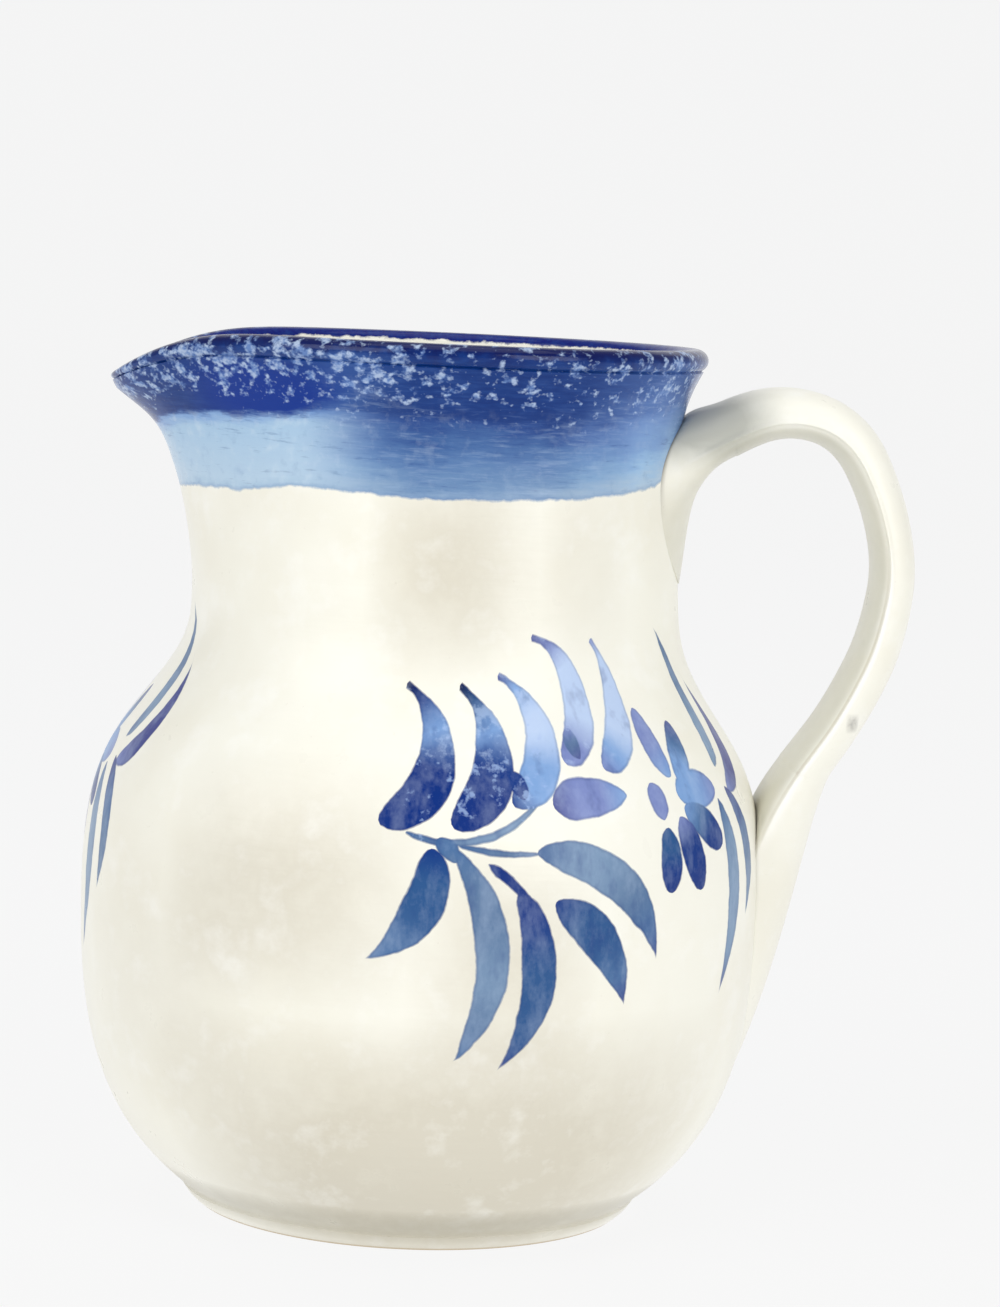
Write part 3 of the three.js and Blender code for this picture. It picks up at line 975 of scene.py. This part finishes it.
class PITCHER_OT_joins(bpy.types.Operator):
    """Smears the luting clay over both roots of the handle"""
    bl_idname = "pitcher.joins"
    bl_label = "Joins"

    def execute(self, context):
        h = context.scene.pitcher_handle
        wall = Wall(context.scene.pitcher_vessel)
        strap = Strap(h)
        material = handle_glaze(context.scene.pitcher_colours, "join_glaze")
        upper = skirt(
            wall, strap, UPPER_STEP, -1, h.upper_join_top, h.upper_join_foot, 169 * MM,
            h.upper_join_width / 2,
            reach=(6 * MM, 9 * MM, 16 * MM), land=(4 * MM, 7 * MM, 24 * MM), lift=(0.5, 0.25, 0.24),
        )
        finish_piece(loft("upper_join", upper, crease_marks(len(upper), (-0.35, 0.3))),
                     "upper_handle_join", material, 50)
        lower = skirt(
            wall, strap, LOWER_STEP, 1, h.lower_join_top, h.lower_join_foot, 85 * MM,
            h.lower_join_width / 2,
            reach=(8 * MM, 9 * MM, 3 * MM), land=(31 * MM, 8 * MM, 3 * MM), lift=(0.08, 0.3, 0.2),
        )
        finish_piece(loft("lower_join", lower, crease_marks(len(lower), (0.3, -0.5))),
                     "lower_handle_join", material, 50)
        return {"FINISHED"}


SWEEP_STEPS, SWEEP_LENGTH = 12, 0.26  # the floor's curve up behind the pitcher
BACKDROP = 3.0  # metres that it goes on upwards
FLOOR_GREY, FLOOR_GLOW = 0.06, 0.875
SKY_TINT, SKY_STRENGTH = (0.95, 0.97, 1.0, 1), 0.38
# Area lights: name, place, width and height in metres, watts. They all face AIM.
LIGHTS = (
    ("soft_left", (-1.25, -1.15, 1.05), (1.5, 1.3), 16.5),
    ("soft_right", (1.2, -1.25, 0.75), (0.9, 1.3), 13.5),
    ("soft_top", (0.1, -0.1, 1.9), (1.5, 1.5), 8.0),
)
AIM = Vector((0, 0, 0.1))
# The camera's place in metres, how many degrees it looks down, aside and leans, its lens in mm.
CAMERA_PLACE = (0, -0.880, 0.220)
CAMERA_DOWN, CAMERA_ASIDE, CAMERA_LEAN = 5.97, 1.03, 2.61
CAMERA_LENS, CAMERA_SENSOR = 105.8, 36.0


class PITCHER_OT_stage(bpy.types.Operator):
    """Sets the pale floor, the soft lights and the camera"""
    bl_idname = "pitcher.stage"
    bl_label = "Stage"

    def execute(self, context):
        deselect()
        bpy.ops.mesh.primitive_plane_add(size=1.0, location=(0, 0, 0))
        floor = context.object
        floor.name = "floor"
        bpy.ops.object.mode_set(mode="EDIT")
        bpy.ops.transform.resize(value=(7.0, 5.0, 1.0))
        bpy.ops.mesh.select_all(action="DESELECT")
        bm = bmesh.from_edit_mesh(floor.data)
        for edge in bm.edges:
            if all(vertex.co.y > 0 for vertex in edge.verts):
                edge.select_set(True)
        bmesh.update_edit_mesh(floor.data)
        for i in range(SWEEP_STEPS):
            a = math.radians(90 / SWEEP_STEPS * (i + 0.5))
            bpy.ops.mesh.extrude_region_move(TRANSFORM_OT_translate={
                "value": (0, SWEEP_LENGTH * math.cos(a), SWEEP_LENGTH * math.sin(a))})
        bpy.ops.mesh.extrude_region_move(TRANSFORM_OT_translate={"value": (0, 0, BACKDROP)})
        bpy.ops.object.mode_set(mode="OBJECT")
        bpy.ops.object.shade_smooth()
        pale = bpy.data.materials.new("floor_paper")
        pale.use_nodes = True
        shader = pale.node_tree.nodes["Principled BSDF"]
        shader.inputs["Base Color"].default_value = (FLOOR_GREY, FLOOR_GREY, FLOOR_GREY, 1)
        shader.inputs["Roughness"].default_value = 1.0
        shader.inputs["Specular IOR Level"].default_value = 0.0
        shader.inputs["Emission Color"].default_value = (1, 1, 1, 1)
        shader.inputs["Emission Strength"].default_value = FLOOR_GLOW
        floor.data.materials.append(pale)

        for name, place, size, power in LIGHTS:
            bpy.ops.object.light_add(type="AREA", location=place)
            light = context.object
            light.name = light.data.name = name
            light.data.shape = "RECTANGLE"
            light.data.size, light.data.size_y = size
            light.data.energy = power
            way = AIM - Vector(place)
            light.rotation_euler = way.to_track_quat("-Z", "Y").to_euler()

        world = bpy.data.worlds.new("studio")
        world.use_nodes = True
        world.node_tree.nodes["Background"].inputs[0].default_value = SKY_TINT
        world.node_tree.nodes["Background"].inputs[1].default_value = SKY_STRENGTH
        context.scene.world = world

        pitch, yaw, roll = (math.radians(a) for a in (CAMERA_DOWN, CAMERA_ASIDE, CAMERA_LEAN))
        forward = Vector((math.sin(yaw) * math.cos(pitch), math.cos(yaw) * math.cos(pitch),
                          -math.sin(pitch)))
        right = Vector((math.cos(yaw), -math.sin(yaw), 0))
        up = right.cross(forward)
        turned_right = right * math.cos(roll) + up * math.sin(roll)
        turned_up = up * math.cos(roll) - right * math.sin(roll)
        bpy.ops.object.camera_add(location=(0, 0, 0))
        camera = context.object
        axes = Matrix((turned_right, turned_up, -forward)).transposed().to_4x4()
        camera.matrix_world = Matrix.Translation(CAMERA_PLACE) @ axes
        camera.data.lens = CAMERA_LENS
        camera.data.sensor_width = CAMERA_SENSOR
        camera.data.clip_start = 0.05
        context.scene.camera = camera
        context.scene.view_settings.view_transform = "Standard"
        return {"FINISHED"}


class PITCHER_PT_panel(bpy.types.Panel):
    """The pitcher's pieces, sizes and colours"""
    bl_idname = "PITCHER_PT_panel"
    bl_label = "Pitcher"
    bl_space_type = "VIEW_3D"
    bl_region_type = "UI"
    bl_category = "Pitcher"

    def draw(self, context):
        layout = self.layout
        for operator in (PITCHER_OT_vessel, PITCHER_OT_handle, PITCHER_OT_joins, PITCHER_OT_stage):
            layout.operator(operator.bl_idname)
        for group in (context.scene.pitcher_vessel, context.scene.pitcher_handle,
                      context.scene.pitcher_colours):
            box = layout.box()
            for name in group.__annotations__:
                box.prop(group, name)


CLASSES = (
    PitcherVesselSizes, PitcherHandleSizes, PitcherColours,
    PITCHER_OT_vessel, PITCHER_OT_handle, PITCHER_OT_joins, PITCHER_OT_stage, PITCHER_PT_panel,
)


def register():
    for cls in CLASSES:
        bpy.utils.register_class(cls)
    bpy.types.Scene.pitcher_vessel = bpy.props.PointerProperty(type=PitcherVesselSizes)
    bpy.types.Scene.pitcher_handle = bpy.props.PointerProperty(type=PitcherHandleSizes)
    bpy.types.Scene.pitcher_colours = bpy.props.PointerProperty(type=PitcherColours)


def unregister():
    del bpy.types.Scene.pitcher_vessel
    del bpy.types.Scene.pitcher_handle
    del bpy.types.Scene.pitcher_colours
    for cls in reversed(CLASSES):
        bpy.utils.unregister_class(cls)


def main():
    register()
    bpy.ops.pitcher.stage()
    bpy.ops.pitcher.vessel()
    bpy.ops.pitcher.handle()
    bpy.ops.pitcher.joins()


if __name__ == "__main__":
    main()
